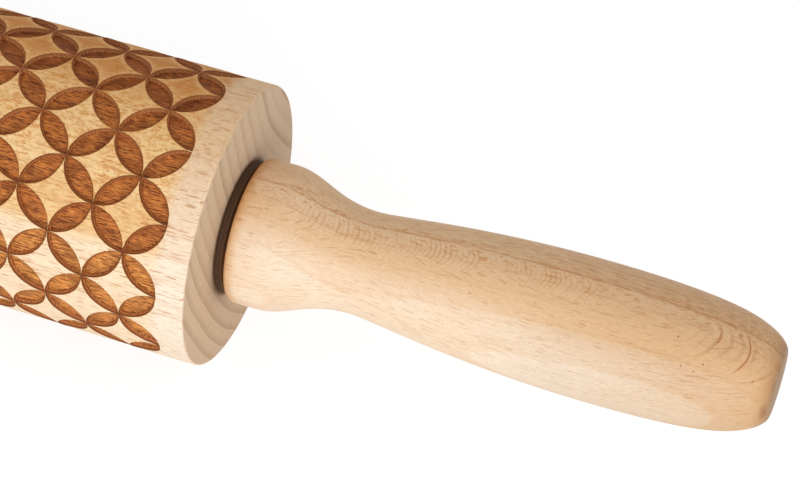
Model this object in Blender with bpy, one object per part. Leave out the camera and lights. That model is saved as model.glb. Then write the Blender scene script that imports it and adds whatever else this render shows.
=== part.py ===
"""An embossed beech rolling pin.

A bored beech roller, carved all round with a lattice of petals, turns on two nylon
bushes round a steel axle. A thrust washer parts each bush from a turned handle, and
the handles are fixed on the ends of the axle, so they stay still while the roller
turns. X runs along the pin, Z is up, and the origin is on the axis at mid-length.
"""
from math import cos, pi, radians, sin

import bmesh
import bpy
from mathutils import Vector
from mathutils.geometry import interpolate_bezier

for old in list(bpy.data.objects):
    bpy.data.objects.remove(old, do_unlink=True)

MM = 0.001

# Clearances between pieces
RUNNING_CLEARANCE = 0.1 * MM
SEAT_GAP = 0.2 * MM
MERGE_DISTANCE = 0.001 * MM

# Roller
ROLLER_LENGTH = 218 * MM
ROLLER_RADIUS = 27.5 * MM
ROLLER_CHAMFER = 0.6 * MM
ROLLER_BORE_CLEARANCE = 1.0 * MM
ROLLER_EDGE_SIDES = 48
BORE_SIDES = 24

# Carving: circles of one size overlap on a square grid set at 45 degrees to the axis
CIRCLES_AROUND = 12
BARE_BAND = 5.4 * MM
CARVING_DEPTH = 1.0 * MM
CARVING_WALL_RUN = 0.35 * MM
CARVING_TIP_RUN = 1.1 * MM
CARVING_ARC_STEPS = 3
LATTICE_TURN = radians(12.5)

# Axle: a journal with a thinner shank at each end
JOURNAL_RADIUS = 5 * MM
SHANK_RADIUS = 4 * MM
SHANK_LENGTH = 48 * MM
SHANK_CHAMFER = 0.8 * MM
AXLE_SIDES = 20

# Flanged bush, pressed into each end of the roller
BUSH_SLEEVE_RADIUS = 8 * MM
BUSH_SLEEVE_LENGTH = 14 * MM
BUSH_FLANGE_RADIUS = 13 * MM
BUSH_FLANGE_THICKNESS = 1.0 * MM
BUSH_SIDES = 20

# Thrust washer between bush and handle
WASHER_RADIUS = 9 * MM
WASHER_THICKNESS = 0.5 * MM
WASHER_SIDES = 16

# Handle outline, from its inner face at 0 to its flat end at HANDLE_LENGTH
HANDLE_LENGTH = 103 * MM
HANDLE_SIDES = 20
COLLAR_LENGTH = 5.6 * MM
COLLAR_RADIUS = 14.1 * MM
COLLAR_ROUND = 1.0 * MM
NECK_RADIUS = 9.9 * MM
BELLY_RADIUS = 13.1 * MM
HEEL_RADIUS = 10.9 * MM
END_FLAT_RADIUS = 5.8 * MM
NECK_SHARE = 0.223
BELLY_SHARE = 0.664
HEEL_SHARE = 0.931
HEEL_SLOPE = -0.29

# How far each curve of the outline holds its end directions, as shares of its length
COLLAR_TO_NECK_SHARES = (0.3, 0.47)
NECK_TO_BELLY_SHARES = (0.1, 0.55)
BELLY_TO_HEEL_SHARES = (0.49, 0.18)
HEEL_TO_END_SHARES = (0.51, 0.22)

# Straight facets in each curve of the outline
COLLAR_ROUND_STEPS = 2
COLLAR_TO_NECK_STEPS = 4
NECK_TO_BELLY_STEPS = 5
BELLY_TO_HEEL_STEPS = 3
HEEL_TO_END_STEPS = 4

# Edges sharper than this stay crisp when the rounds are shaded smooth
SHARP_ANGLE = radians(30)

# Two places round the axis nearer than this are taken as one
SAME_ANGLE = radians(0.01)

# Places along the axis that follow from the sizes
ROLLER_END = ROLLER_LENGTH / 2
FLANGE_BACK = ROLLER_END + SEAT_GAP
WASHER_BACK = FLANGE_BACK + BUSH_FLANGE_THICKNESS + SEAT_GAP
HANDLE_FACE = WASHER_BACK + WASHER_THICKNESS + SEAT_GAP
JOURNAL_END = HANDLE_FACE - SEAT_GAP
AXLE_END = JOURNAL_END + SHANK_LENGTH

# Pitches of the carving, unrolled: half a circle along and half a circle around
PATTERN_LENGTH = ROLLER_LENGTH - 2 * BARE_BAND
HALF_AROUND = pi * ROLLER_RADIUS / CIRCLES_AROUND
CIRCLES_ALONG = max(1, round(PATTERN_LENGTH / (2 * HALF_AROUND)))
HALF_ALONG = PATTERN_LENGTH / (2 * CIRCLES_ALONG)
ROWS = 2 * CIRCLES_AROUND
COLUMNS = 2 * CIRCLES_ALONG


def bore_radius(radius, clearance, sides):
    """Corner radius of a faceted bore whose flats clear a round of this radius."""
    return (radius + clearance) / cos(pi / sides)


def material(name, color, roughness, metallic=0.0):
    """A Principled material."""
    made = bpy.data.materials.new(name)
    made.use_nodes = True
    shader = made.node_tree.nodes["Principled BSDF"]
    shader.inputs["Base Color"].default_value = (*color, 1.0)
    shader.inputs["Roughness"].default_value = roughness
    shader.inputs["Metallic"].default_value = metallic
    return made


def add_object(name, mesh, finish, parent, place=0.0, turn=0.0):
    """Link an object at a place on the axis, turned about Z, under its body's empty."""
    mesh.materials.clear()
    mesh.materials.append(finish)
    made = bpy.data.objects.new(name, mesh)
    made.location = (place, 0, 0)
    made.rotation_euler = (0, 0, turn)
    made.parent = parent
    bpy.context.collection.objects.link(made)
    return made


def add_empty(name):
    """An empty on the pin's axis, which carries one body's pieces."""
    made = bpy.data.objects.new(name, None)
    bpy.context.collection.objects.link(made)
    return made


def finished_mesh(name, bm):
    """Merge the faces' shared corners, turn the faces out and shade the rounds smooth."""
    bmesh.ops.remove_doubles(bm, verts=bm.verts, dist=MERGE_DISTANCE)
    bmesh.ops.recalc_face_normals(bm, faces=bm.faces)
    mesh = bpy.data.meshes.new(name)
    bm.to_mesh(mesh)
    bm.free()
    mesh.shade_smooth()
    mesh.set_sharp_from_angle(angle=SHARP_ANGLE)
    return mesh


def turned_mesh(name, profile, sides, closed):
    """Spin (along, radius) points about X. An open profile starts and ends on the axis."""
    bm = bmesh.new()
    corners = [bm.verts.new((along, 0, radius)) for along, radius in profile]
    runs = list(zip(corners, corners[1:]))
    if closed:
        runs.append((corners[-1], corners[0]))
    edges = [bm.edges.new(run) for run in runs]
    bmesh.ops.spin(
        bm, geom=corners + edges, cent=(0, 0, 0), axis=(1, 0, 0),
        angle=2 * pi, steps=sides, use_merge=True,
    )
    return finished_mesh(name, bm)


def add_face(bm, *points):
    """A face with corners of its own, which finished_mesh merges with its neighbours'."""
    bm.faces.new([bm.verts.new(point) for point in points])


# The roller's skin is laid out unrolled: a place is (along, around, radius), with along
# in metres from the pattern's first column and around in metres on the roller's surface.


def wrapped(along, around, radius=ROLLER_RADIUS):
    """The point in space of an unrolled place."""
    angle = LATTICE_TURN + around / ROLLER_RADIUS
    return Vector((ROLLER_END - BARE_BAND - along, radius * cos(angle), radius * sin(angle)))


def grid_place(column, row):
    """Unrolled place of a grid point. Petal tips meet where column + row is even."""
    return Vector((column * HALF_ALONG, row * HALF_AROUND))


def arc_places(center, start_angle):
    """Places inside a quarter of the circle round a grid point, its two ends left out."""
    places = []
    for step in range(1, CARVING_ARC_STEPS):
        angle = start_angle + step * pi / 2 / CARVING_ARC_STEPS
        places.append(grid_place(center[0] + cos(angle), center[1] + sin(angle)))
    return places


def carve_petal(bm, column, row):
    """One recessed petal across a grid cell: two arcs from tip to tip, walls and a floor."""
    rising = (column + row) % 2 == 0
    if rising:
        tip = grid_place(column, row)
        far_tip = grid_place(column + 1, row + 1)
        upper = arc_places((column + 1, row), pi / 2)[::-1]
        lower = arc_places((column, row + 1), 3 * pi / 2)
    else:
        tip = grid_place(column, row + 1)
        far_tip = grid_place(column + 1, row)
        upper = arc_places((column, row), 0)[::-1]
        lower = arc_places((column + 1, row + 1), pi)
    middle = (tip + far_tip) / 2
    reach = (far_tip - tip).normalized() * CARVING_TIP_RUN
    floor_ends = [tip + reach, far_tip - reach]
    floor_sides = []
    for side in (upper, lower):
        out = (side[0] + side[-1]) / 2 - middle
        floor_sides.append(middle + out - out.normalized() * CARVING_WALL_RUN)
    floor_radius = ROLLER_RADIUS - CARVING_DEPTH
    ends = [wrapped(*place, floor_radius) for place in floor_ends]
    sides = [wrapped(*place, floor_radius) for place in floor_sides]
    tips = [wrapped(*tip), wrapped(*far_tip)]
    for side, arc in zip(sides, (upper, lower)):
        rim = [wrapped(*place) for place in arc]
        add_face(bm, tips[0], rim[0], ends[0])
        add_face(bm, rim[0], side, ends[0])
        for start, stop in zip(rim, rim[1:]):
            add_face(bm, start, stop, side)
        add_face(bm, rim[-1], ends[1], side)
        add_face(bm, rim[-1], tips[1], ends[1])
    add_face(bm, ends[0], sides[0], sides[1])
    add_face(bm, ends[1], sides[1], sides[0])


def lay_star(bm, column, row):
    """The four-pointed patch of whole surface inside a circle, cut in planes along X."""
    left, right = grid_place(column - 1, row), grid_place(column + 1, row)
    top, bottom = grid_place(column, row + 1), grid_place(column, row - 1)
    top_left = arc_places((column - 1, row + 1), 3 * pi / 2)
    top_right = arc_places((column + 1, row + 1), pi)
    bottom_left = arc_places((column - 1, row - 1), 0)
    bottom_right = arc_places((column + 1, row - 1), pi / 2)
    patches = [
        (left, top_left[0], bottom_left[-1]),
        (top_left[-1], top, top_right[0]),
        (right, bottom_right[0], top_right[-1]),
        (bottom_right[-1], bottom, bottom_left[0]),
        (top_left[0], top_left[-1], top_right[0], top_right[-1]),
        (top_left[0], top_right[-1], bottom_right[0], bottom_left[-1]),
        (bottom_left[-1], bottom_right[0], bottom_right[-1], bottom_left[0]),
    ]
    for patch in patches:
        add_face(bm, *[wrapped(*place) for place in patch])


def ring(place, radius, sides):
    """A circle round the axis, as (angle, point) pairs that end where they start."""
    pairs = []
    for step in range(sides + 1):
        angle = 2 * pi * step / sides
        turn = LATTICE_TURN + angle
        pairs.append((angle, Vector((place, radius * cos(turn), radius * sin(turn)))))
    return pairs


def scallop_run(column, inward):
    """The edge of the carving at one end, as (angle, point) pairs round the roller."""
    pairs = []
    for row in range(0, ROWS, 2):
        first = arc_places((column + inward, row), pi / 2 if inward > 0 else 0)
        second = arc_places((column + inward, row + 2), pi if inward > 0 else 3 * pi / 2)
        if inward > 0:
            first.reverse()
            second.reverse()
        places = [grid_place(column, row), *first, grid_place(column + inward, row + 1), *second]
        for along, around in places:
            pairs.append((around / ROLLER_RADIUS, wrapped(along, around)))
    pairs.append((2 * pi, pairs[0][1]))
    return pairs


def zip_runs(bm, first, second):
    """Fill between two runs round the axis with triangles; on a tie, first steps first."""
    at_first = 0
    at_second = 0
    while at_first < len(first) - 1 or at_second < len(second) - 1:
        angle, point = first[at_first]
        other_point = second[at_second][1]
        if at_second == len(second) - 1:
            first_steps = True
        elif at_first == len(first) - 1:
            first_steps = False
        else:
            first_steps = first[at_first + 1][0] <= second[at_second + 1][0] + SAME_ANGLE
        if first_steps:
            at_first += 1
            add_face(bm, point, first[at_first][1], other_point)
        else:
            at_second += 1
            add_face(bm, point, second[at_second][1], other_point)


def roller_mesh():
    """The carved skin, the bare bands and chamfered ends, and the stepped bore."""
    bm = bmesh.new()
    for column in range(COLUMNS):
        for row in range(ROWS):
            carve_petal(bm, column, row)
    for column in range(1, COLUMNS):
        for row in range((column + 1) % 2, ROWS, 2):
            lay_star(bm, column, row)
    seat_radius = bore_radius(BUSH_SLEEVE_RADIUS, SEAT_GAP, BORE_SIDES)
    through_radius = bore_radius(JOURNAL_RADIUS, ROLLER_BORE_CLEARANCE, BORE_SIDES)
    seat_bottom = ROLLER_END - BUSH_SLEEVE_LENGTH
    for side, column, inward in ((1, 0, 1), (-1, COLUMNS, -1)):
        edge = ring(side * (ROLLER_END - ROLLER_CHAMFER), ROLLER_RADIUS, ROLLER_EDGE_SIDES)
        rim = ring(side * ROLLER_END, ROLLER_RADIUS - ROLLER_CHAMFER, ROLLER_EDGE_SIDES)
        mouth = ring(side * ROLLER_END, seat_radius, BORE_SIDES)
        shoulder = ring(side * seat_bottom, seat_radius, BORE_SIDES)
        step = ring(side * seat_bottom, through_radius, BORE_SIDES)
        zip_runs(bm, edge, scallop_run(column, inward))
        for first, second in ((edge, rim), (rim, mouth), (mouth, shoulder), (shoulder, step)):
            zip_runs(bm, first, second)
    bore_start = ring(seat_bottom, through_radius, BORE_SIDES)
    bore_stop = ring(-seat_bottom, through_radius, BORE_SIDES)
    zip_runs(bm, bore_start, bore_stop)
    return finished_mesh("roller", bm)


def axle_mesh():
    """A round journal with a thinner, chamfered shank at each end."""
    half = [
        (JOURNAL_END, JOURNAL_RADIUS),
        (JOURNAL_END, SHANK_RADIUS),
        (AXLE_END - SHANK_CHAMFER, SHANK_RADIUS),
        (AXLE_END, SHANK_RADIUS - SHANK_CHAMFER),
        (AXLE_END, 0),
    ]
    other_half = [(-along, radius) for along, radius in reversed(half)]
    return turned_mesh("axle", other_half + half, AXLE_SIDES, closed=False)


def bush_mesh():
    """A flanged sleeve. Its flange's back face is at 0 and its sleeve runs inwards."""
    hole = bore_radius(JOURNAL_RADIUS, RUNNING_CLEARANCE, BUSH_SIDES)
    sleeve_stop = -(BUSH_SLEEVE_LENGTH - SEAT_GAP)
    profile = [
        (BUSH_FLANGE_THICKNESS, hole),
        (BUSH_FLANGE_THICKNESS, BUSH_FLANGE_RADIUS),
        (0, BUSH_FLANGE_RADIUS),
        (0, BUSH_SLEEVE_RADIUS),
        (sleeve_stop, BUSH_SLEEVE_RADIUS),
        (sleeve_stop, hole),
    ]
    return turned_mesh("bush", profile, BUSH_SIDES, closed=True)


def washer_mesh():
    """A flat ring, from 0 outwards."""
    hole = bore_radius(JOURNAL_RADIUS, SEAT_GAP, WASHER_SIDES)
    profile = [
        (0, hole),
        (WASHER_THICKNESS, hole),
        (WASHER_THICKNESS, WASHER_RADIUS),
        (0, WASHER_RADIUS),
    ]
    return turned_mesh("washer", profile, WASHER_SIDES, closed=True)


def curve_run(start, start_way, stop, stop_way, hold_shares, steps):
    """A Bezier curve from start to stop without its first point; the ways are directions."""
    reach = (stop - start).length
    leave = start + start_way.normalized() * reach * hold_shares[0]
    arrive = stop - stop_way.normalized() * reach * hold_shares[1]
    return interpolate_bezier(start, leave, arrive, stop, steps + 1)[1:]


def handle_profile():
    """The turned outline, from the blind bore's bottom round to the end's middle."""
    hole = bore_radius(SHANK_RADIUS, SEAT_GAP, HANDLE_SIDES)
    hole_bottom = AXLE_END + SEAT_GAP - HANDLE_FACE
    points = [Vector((hole_bottom, 0)), Vector((hole_bottom, hole)), Vector((0, hole))]
    for step in range(COLLAR_ROUND_STEPS + 1):
        angle = step * pi / 2 / COLLAR_ROUND_STEPS
        along = COLLAR_ROUND * (1 - cos(angle))
        points.append(Vector((along, COLLAR_RADIUS - COLLAR_ROUND * (1 - sin(angle)))))
    level = Vector((1, 0))
    falling = Vector((1, HEEL_SLOPE))
    inward = Vector((0, -1))
    collar = Vector((COLLAR_LENGTH, COLLAR_RADIUS))
    neck = Vector((HANDLE_LENGTH * NECK_SHARE, NECK_RADIUS))
    belly = Vector((HANDLE_LENGTH * BELLY_SHARE, BELLY_RADIUS))
    heel = Vector((HANDLE_LENGTH * HEEL_SHARE, HEEL_RADIUS))
    end = Vector((HANDLE_LENGTH, END_FLAT_RADIUS))
    points.append(collar)
    points += curve_run(collar, level, neck, level, COLLAR_TO_NECK_SHARES, COLLAR_TO_NECK_STEPS)
    points += curve_run(neck, level, belly, level, NECK_TO_BELLY_SHARES, NECK_TO_BELLY_STEPS)
    points += curve_run(belly, level, heel, falling, BELLY_TO_HEEL_SHARES, BELLY_TO_HEEL_STEPS)
    points += curve_run(heel, falling, end, inward, HEEL_TO_END_SHARES, HEEL_TO_END_STEPS)
    points.append(Vector((HANDLE_LENGTH, 0)))
    return [(point.x, point.y) for point in points]


def handle_mesh():
    """A turned grip with a blind bore. Its inner face is at 0 and it runs outwards."""
    return turned_mesh("handle", handle_profile(), HANDLE_SIDES, closed=False)


def build_pin():
    """Every piece in place, under the empties of the two bodies."""
    handle_body = add_empty("handle_body")
    roller_body = add_empty("roller_body")
    carved_beech = material("carved_beech", (0.66, 0.40, 0.20), 0.6)
    turned_beech = material("turned_beech", (0.78, 0.56, 0.34), 0.5)
    nylon = material("black_nylon", (0.02, 0.02, 0.02), 0.45)
    steel = material("axle_steel", (0.55, 0.56, 0.58), 0.3, 1.0)
    washer_steel = material("washer_steel", (0.48, 0.48, 0.5), 0.35, 1.0)
    add_object("roller", roller_mesh(), carved_beech, roller_body)
    add_object("axle", axle_mesh(), steel, handle_body)
    bush = bush_mesh()
    washer = washer_mesh()
    handle = handle_mesh()
    for name, side, turn in (("right", 1, 0), ("left", -1, pi)):
        add_object(name + "_bush", bush, nylon, roller_body, side * FLANGE_BACK, turn)
        add_object(name + "_washer", washer, washer_steel, handle_body, side * WASHER_BACK, turn)
        add_object(name + "_handle", handle, turned_beech, handle_body, side * HANDLE_FACE, turn)


build_pin()
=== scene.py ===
"""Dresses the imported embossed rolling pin: fine meshes, beech, light and camera.

Every place comes from the frame. The roller, handles, bushes and washers get finer
meshes of the same shape. Beech is one solid texture, with growth rings round a far
pith and ray flecks in radial sheets, so that all sides of a piece agree.
"""
from collections import namedtuple
from math import acos, cos, pi, radians, sin, sqrt

import bmesh
import bpy
import numpy as np
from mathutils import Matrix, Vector, noise
from mathutils.geometry import delaunay_2d_cdt, interpolate_bezier


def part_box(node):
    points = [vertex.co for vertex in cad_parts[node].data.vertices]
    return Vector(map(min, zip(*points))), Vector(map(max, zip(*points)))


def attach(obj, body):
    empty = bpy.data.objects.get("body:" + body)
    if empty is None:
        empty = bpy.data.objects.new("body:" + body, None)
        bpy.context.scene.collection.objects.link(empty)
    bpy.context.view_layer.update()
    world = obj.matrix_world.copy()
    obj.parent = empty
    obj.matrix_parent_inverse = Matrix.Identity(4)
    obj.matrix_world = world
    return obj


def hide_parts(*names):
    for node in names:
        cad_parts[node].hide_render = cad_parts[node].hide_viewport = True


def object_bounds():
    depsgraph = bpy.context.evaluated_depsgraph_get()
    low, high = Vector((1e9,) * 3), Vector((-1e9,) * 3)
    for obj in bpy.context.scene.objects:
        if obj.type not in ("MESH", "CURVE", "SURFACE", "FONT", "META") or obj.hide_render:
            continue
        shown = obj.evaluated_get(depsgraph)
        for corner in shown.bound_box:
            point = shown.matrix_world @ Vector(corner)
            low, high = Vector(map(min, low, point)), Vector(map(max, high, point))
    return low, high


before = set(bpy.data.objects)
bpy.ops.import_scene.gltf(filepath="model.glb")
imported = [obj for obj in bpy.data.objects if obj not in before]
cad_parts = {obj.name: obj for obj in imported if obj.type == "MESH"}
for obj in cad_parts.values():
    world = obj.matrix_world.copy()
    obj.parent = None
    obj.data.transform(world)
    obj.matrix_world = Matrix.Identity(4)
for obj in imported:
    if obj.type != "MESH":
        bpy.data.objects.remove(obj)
cad_low, cad_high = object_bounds()

MM = 0.001
MM_PER_METRE = 1000

# Roller
ROLLER_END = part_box("roller")[1].x
ROLLER_RADIUS = cad_high.z
ROLLER_ROUND = 0.6 * MM
BORE_RADIUS = 6.0 * MM
SEAT_RADIUS = 8.3 * MM
SEAT_DEPTH = 14 * MM

# Carving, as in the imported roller: circles of one size on a square grid at 45 degrees
CIRCLES_AROUND = 12
CIRCLES_ALONG = 14
BARE_BAND = 5.4 * MM
LATTICE_TURN = radians(12.5)
ROWS = 2 * CIRCLES_AROUND
COLUMNS = 2 * CIRCLES_ALONG
HALF_ALONG = (ROLLER_END - BARE_BAND) / CIRCLES_ALONG
HALF_AROUND = pi * ROLLER_RADIUS / CIRCLES_AROUND
HALF_PITCH = (HALF_ALONG + HALF_AROUND) / 2

# A petal's loops from rim to floor, each as (way in from the rim, depth)
PETAL_INSET = 0.05 * MM
PETAL_LOOPS = (
    (0, 0),
    (0.05 * MM, 0.07 * MM),
    (0.28 * MM, 0.88 * MM),
    (0.42 * MM, 1.0 * MM),
    (1.0 * MM, 1.0 * MM),
)
FLOOR_DEPTH = PETAL_LOOPS[-1][1]
FLOOR_RELIEF = 0.07 * MM
RELIEF_LENGTH = 2.4 * MM
RELIEF_WIDTH = 0.7 * MM
PETAL_STEPS = 14
LAND_STEPS = 6
LAND_BANDS = (0.15 * MM, 0.5 * MM)
LAND_MARGIN = 0.4 * MM
LAND_TOLERANCE = 1e-6

# Handle outline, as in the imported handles, from the inner face outwards
HANDLE_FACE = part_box("right_handle")[0].x
HANDLE_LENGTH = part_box("right_handle")[1].x - HANDLE_FACE
HANDLE_SIDES = 128
HANDLE_BORE = 4.3 * MM
HANDLE_BORE_SPARE = 0.2 * MM
HANDLE_BORE_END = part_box("axle")[1].x + HANDLE_BORE_SPARE - HANDLE_FACE
COLLAR_LENGTH = 5.6 * MM
COLLAR_RADIUS = 14.1 * MM
COLLAR_ROUND = 1.0 * MM
NECK_RADIUS = 9.9 * MM
BELLY_RADIUS = 13.1 * MM
HEEL_RADIUS = 10.9 * MM
END_FLAT_RADIUS = 5.8 * MM
NECK_SHARE = 0.223
BELLY_SHARE = 0.664
HEEL_SHARE = 0.931
HEEL_SLOPE = -0.29
COLLAR_TO_NECK_SHARES = (0.3, 0.47)
NECK_TO_BELLY_SHARES = (0.1, 0.55)
BELLY_TO_HEEL_SHARES = (0.49, 0.18)
HEEL_TO_END_SHARES = (0.51, 0.22)
CURVE_STEPS = 16
ROUND_STEPS = 5

# Bush and washer
TURNED_SIDES = 96
BUSH_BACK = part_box("right_bush")[0].x
BUSH_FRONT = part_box("right_bush")[1].x
BUSH_THICKNESS = 1.0 * MM
BUSH_FLANGE_RADIUS = 13 * MM
BUSH_SLEEVE_RADIUS = 8 * MM
BUSH_ROUND = 0.6 * MM
JOURNAL_HOLE = 5.12 * MM
WASHER_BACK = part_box("right_washer")[0].x
WASHER_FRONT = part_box("right_washer")[1].x
WASHER_RADIUS = 9 * MM
WASHER_ROUND = 0.12 * MM

MERGE_DISTANCE = 0.002 * MM
SHARP_ANGLE = radians(32)

# Camera, fitted to the roller's end circle, its sides and the carved grid
CAMERA_PLACE = Vector((244.64, -282.61, 405.92)) * MM
CAMERA_WAY = Vector((-0.20768, 0.56741, -0.79681))
CAMERA_LENS = 122.0
SENSOR_WIDTH = 36.0


# Meshes


def finish_mesh(name, points, faces, far_edge=None):
    """A closed mesh with shared corners merged, faces turned out and rounds smooth."""
    mesh = bpy.data.meshes.new(name)
    mesh.from_pydata(points, [], faces)
    if far_edge is not None:
        mesh.attributes.new("edge", "FLOAT", "POINT").data.foreach_set("value", far_edge)
    bm = bmesh.new()
    bm.from_mesh(mesh)
    bmesh.ops.remove_doubles(bm, verts=bm.verts, dist=MERGE_DISTANCE)
    bmesh.ops.recalc_face_normals(bm, faces=bm.faces)
    bm.to_mesh(mesh)
    bm.free()
    mesh.shade_smooth()
    mesh.set_sharp_from_angle(angle=SHARP_ANGLE)
    return mesh


def lathe(profile, sides, start=0.0):
    """Points and faces of an (along, radius) outline turned about X."""
    angles = start + 2 * pi * np.arange(sides) / sides
    along, radius = np.array(profile, float).T
    points = np.stack(
        [
            np.repeat(along, sides),
            np.outer(radius, np.cos(angles)).ravel(),
            np.outer(radius, np.sin(angles)).ravel(),
        ],
        axis=1,
    )
    faces = []
    for ring in range(len(profile) - 1):
        for side in range(sides):
            after = (side + 1) % sides
            low, high = ring * sides, (ring + 1) * sides
            if profile[ring][1] == 0:
                faces.append((low, high + after, high + side))
            elif profile[ring + 1][1] == 0:
                faces.append((low + side, low + after, high))
            else:
                faces.append((low + side, low + after, high + after, high + side))
    return points, faces


def circle_distances(place):
    """Distances of a tile's place from the centres of the two circles that cut its petal."""
    return sqrt((place[0] - 1) ** 2 + place[1] ** 2), sqrt(place[0] ** 2 + (place[1] - 1) ** 2)


def rim_distance(place):
    """Distance of a tile's place from the petal's rim, below zero inside the petal."""
    return max(circle_distances(place)) * HALF_PITCH - (HALF_PITCH - PETAL_INSET)


def petal_loop(inset):
    """A petal's outline drawn in from the rim: one arc from tip to tip, in tile units."""
    radius = 1 - (PETAL_INSET + inset) / HALF_PITCH
    tip_angle = acos(sqrt(0.5) / radius)
    arc = []
    for step in range(PETAL_STEPS + 1):
        angle = 3 * pi / 4 + tip_angle * (1 - 2 * step / PETAL_STEPS)
        arc.append((1 + radius * cos(angle), radius * sin(angle)))
    return arc


def petal_tile():
    """The petal of one tile, from corner to corner: (place, depth) points, and faces."""
    points, faces = [], []

    def add_row(places, depth):
        points.extend((place, depth) for place in places)
        return list(range(len(points) - len(places), len(points)))

    rows = []
    for inset, depth in PETAL_LOOPS:
        arc = petal_loop(inset)
        rows.append((add_row(arc, depth), add_row([place[::-1] for place in arc], depth)))
    middle = [((a + b) / 2, (a + b) / 2) for a, b in petal_loop(PETAL_LOOPS[-1][0])]
    center_row = add_row(middle, FLOOR_DEPTH)
    rows.append((center_row, center_row))
    for (upper, lower), (next_upper, next_lower) in zip(rows, rows[1:]):
        for step in range(PETAL_STEPS):
            faces.append((upper[step], upper[step + 1], next_upper[step + 1], next_upper[step]))
            faces.append((lower[step + 1], lower[step], next_lower[step], next_lower[step + 1]))
    return points, faces


def land_tile():
    """The whole surface of one tile round its petal, as places and triangles."""
    rim = petal_loop(0)
    loop = rim + [place[::-1] for place in rim[-2:0:-1]]
    border = []
    for step in range(LAND_STEPS):
        share = step / LAND_STEPS
        border += [(share, 0.0), (1.0, share), (1 - share, 1.0), (0.0, 1 - share)]
    inner = []
    for band in LAND_BANDS:
        for place in petal_loop(-PETAL_INSET - band):
            inner += [place, place[::-1]]
    for column in range(1, LAND_STEPS):
        for row in range(1, LAND_STEPS):
            place = (column / LAND_STEPS, row / LAND_STEPS)
            if rim_distance(place) > LAND_BANDS[-1] + LAND_MARGIN:
                inner.append(place)
    margin = LAND_MARGIN / HALF_PITCH / 2
    inner = [place for place in inner if margin < min(place) and max(place) < 1 - margin]
    count = len(loop)
    edges = [(index, (index + 1) % count) for index in range(count)]
    corners = [Vector(place) for place in loop + border + inner]
    made = delaunay_2d_cdt(corners, edges, [], 0, LAND_TOLERANCE)
    places = [tuple(place) for place in made[0]]
    faces = []
    for face in made[2]:
        center = np.mean([places[corner] for corner in face], axis=0)
        if rim_distance(center) > 0:
            faces.append(tuple(face))
    return places, faces


def wrap(along, around, depth):
    """Unrolled places, in tile units from the right end's pattern line, in space."""
    angle = LATTICE_TURN + around * HALF_AROUND / ROLLER_RADIUS
    radius = ROLLER_RADIUS - depth
    x = ROLLER_END - BARE_BAND - along * HALF_ALONG
    return np.stack([x, radius * np.cos(angle), radius * np.sin(angle)], axis=1)


def floor_relief(points, depths):
    """Burnt floors are uneven along the grain. Moves their points in and out a little."""
    for index in np.flatnonzero(depths > FLOOR_DEPTH / 2):
        x, y, z = points[index]
        place = Vector((x / RELIEF_LENGTH, y / RELIEF_WIDTH, z / RELIEF_WIDTH))
        shift = 1 - FLOOR_RELIEF * noise.noise(place) / ROLLER_RADIUS
        points[index] = (x, y * shift, z * shift)


def roller_mesh():
    """The carved roller: a lattice of tiles, plain bands, rounded ends and stepped bore."""
    petal, petal_faces = petal_tile()
    land, land_faces = land_tile()
    tile = np.array([place for place, depth in petal] + land)
    depth = np.array([depth for place, depth in petal] + [0.0] * len(land))
    edge = np.array([rim_distance(place) for place in tile])
    shift = len(petal)
    tile_faces = petal_faces + [tuple(corner + shift for corner in face) for face in land_faces]
    points, faces, edges = [], [], []
    for column in range(COLUMNS):
        for row in range(ROWS):
            first = len(tile) * (column * ROWS + row)
            across = tile[:, 1] if (column + row) % 2 == 0 else 1 - tile[:, 1]
            placed = wrap(column + tile[:, 0], row + across, depth)
            floor_relief(placed, depth)
            points.append(placed)
            edges.append(edge)
            faces += [tuple(corner + first for corner in face) for face in tile_faces]
    half = [
        (ROLLER_END - BARE_BAND, ROLLER_RADIUS),
        (ROLLER_END - BARE_BAND / 2, ROLLER_RADIUS),
    ]
    for step in range(ROUND_STEPS + 1):
        angle = pi / 2 * step / ROUND_STEPS
        half.append((
            ROLLER_END - ROLLER_ROUND * (1 - sin(angle)),
            ROLLER_RADIUS - ROLLER_ROUND * (1 - cos(angle)),
        ))
    half += [
        (ROLLER_END, (BUSH_FLANGE_RADIUS + ROLLER_RADIUS) / 2),
        (ROLLER_END, SEAT_RADIUS),
        (ROLLER_END - SEAT_DEPTH, SEAT_RADIUS),
        (ROLLER_END - SEAT_DEPTH, BORE_RADIUS),
    ]
    profile = half + [(-along, radius) for along, radius in reversed(half)]
    sides = ROWS * LAND_STEPS
    end_points, end_faces = lathe(profile, sides, LATTICE_TURN)
    first = sum(len(placed) for placed in points)
    points.append(end_points)
    edges.append(np.full(len(end_points), BARE_BAND))
    faces += [tuple(corner + first for corner in face) for face in end_faces]
    return finish_mesh("roller_wood", np.concatenate(points), faces, np.concatenate(edges))


def curve_run(start, start_way, stop, stop_way, hold_shares):
    """A Bezier curve from start to stop without its first point; the ways are directions."""
    length = (stop - start).length
    leave = start + start_way.normalized() * length * hold_shares[0]
    arrive = stop - stop_way.normalized() * length * hold_shares[1]
    return interpolate_bezier(start, leave, arrive, stop, CURVE_STEPS + 1)[1:]


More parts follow.
